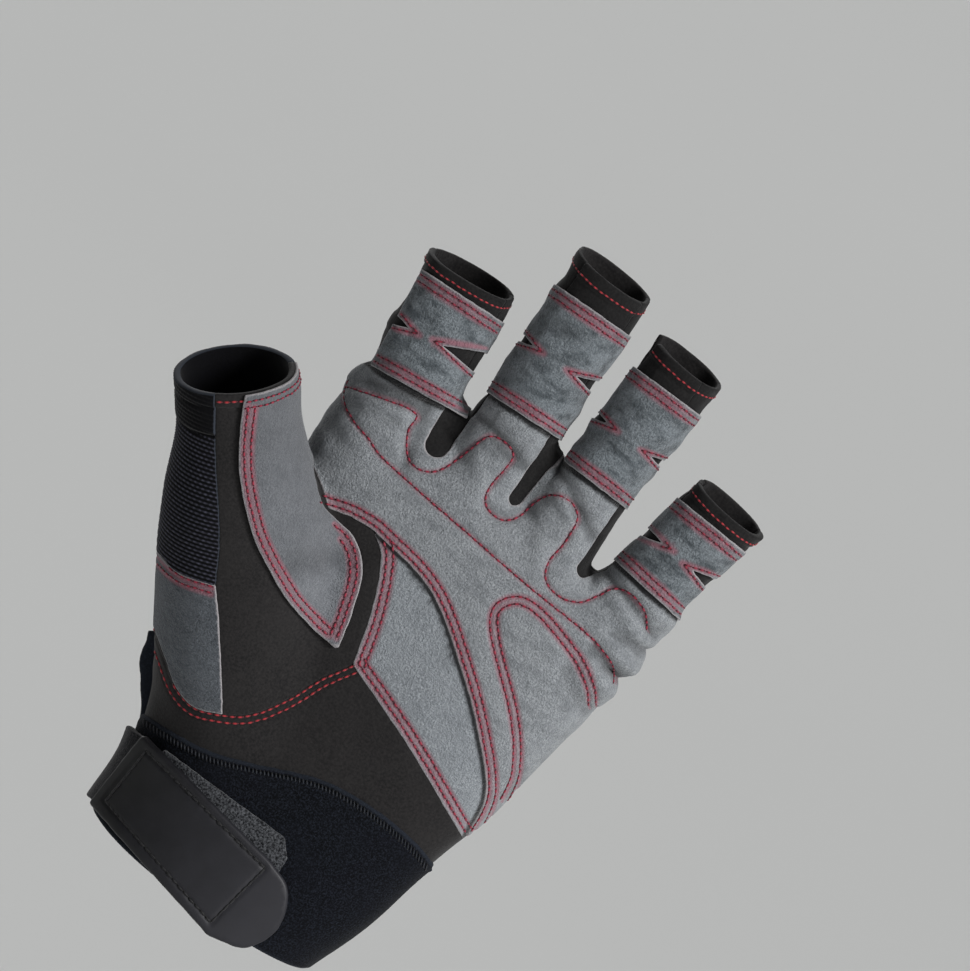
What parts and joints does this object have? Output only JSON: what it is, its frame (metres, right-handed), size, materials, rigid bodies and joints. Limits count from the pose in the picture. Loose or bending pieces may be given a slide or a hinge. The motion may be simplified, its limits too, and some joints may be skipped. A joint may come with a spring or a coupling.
{
  "type": "sailing glove",
  "caption": "Left-hand short-finger sport glove with a grey suede palm, red twin stitching, black fabric back, knit thumb and a neoprene cuff with a rubber wrist tab.",
  "frame": {"origin": "centre of the wrist opening", "axes": "+Z along the hand to the fingertips, -Y out of the palm, -X to the thumb"},
  "size_m": [0.1299, 0.0614, 0.1751],
  "materials": {
    "suede": "matte synthetic suede with red stitching",
    "black_fabric": "matte stretch fabric",
    "rib_knit": "ribbed knit",
    "neoprene": "jersey-faced neoprene",
    "rubber": "moulded rubber",
    "tape": "woven loop tape"
  },
  "bodies": {
    "root": {"palm_panel": "suede", "thenar_panel": "suede", "thumb_side_panel": "suede", "index_patch": "suede", "middle_patch": "suede", "ring_patch": "suede", "pinky_patch": "suede", "thumb_patch": "suede", "fourchette_index_middle": "black_fabric", "fourchette_middle_ring": "black_fabric", "fourchette_ring_pinky": "black_fabric", "back_panel": "black_fabric", "heel_panel": "black_fabric", "thumb_gusset": "black_fabric", "index_sleeve": "black_fabric", "middle_sleeve": "black_fabric", "ring_sleeve": "black_fabric", "pinky_sleeve": "black_fabric", "thumb_knit": "rib_knit", "cuff_front": "neoprene", "cuff_back": "neoprene", "strap_tab": "rubber", "strap_loop_pad": "tape", "strap_band": "tape"}
  },
  "joints": []
}
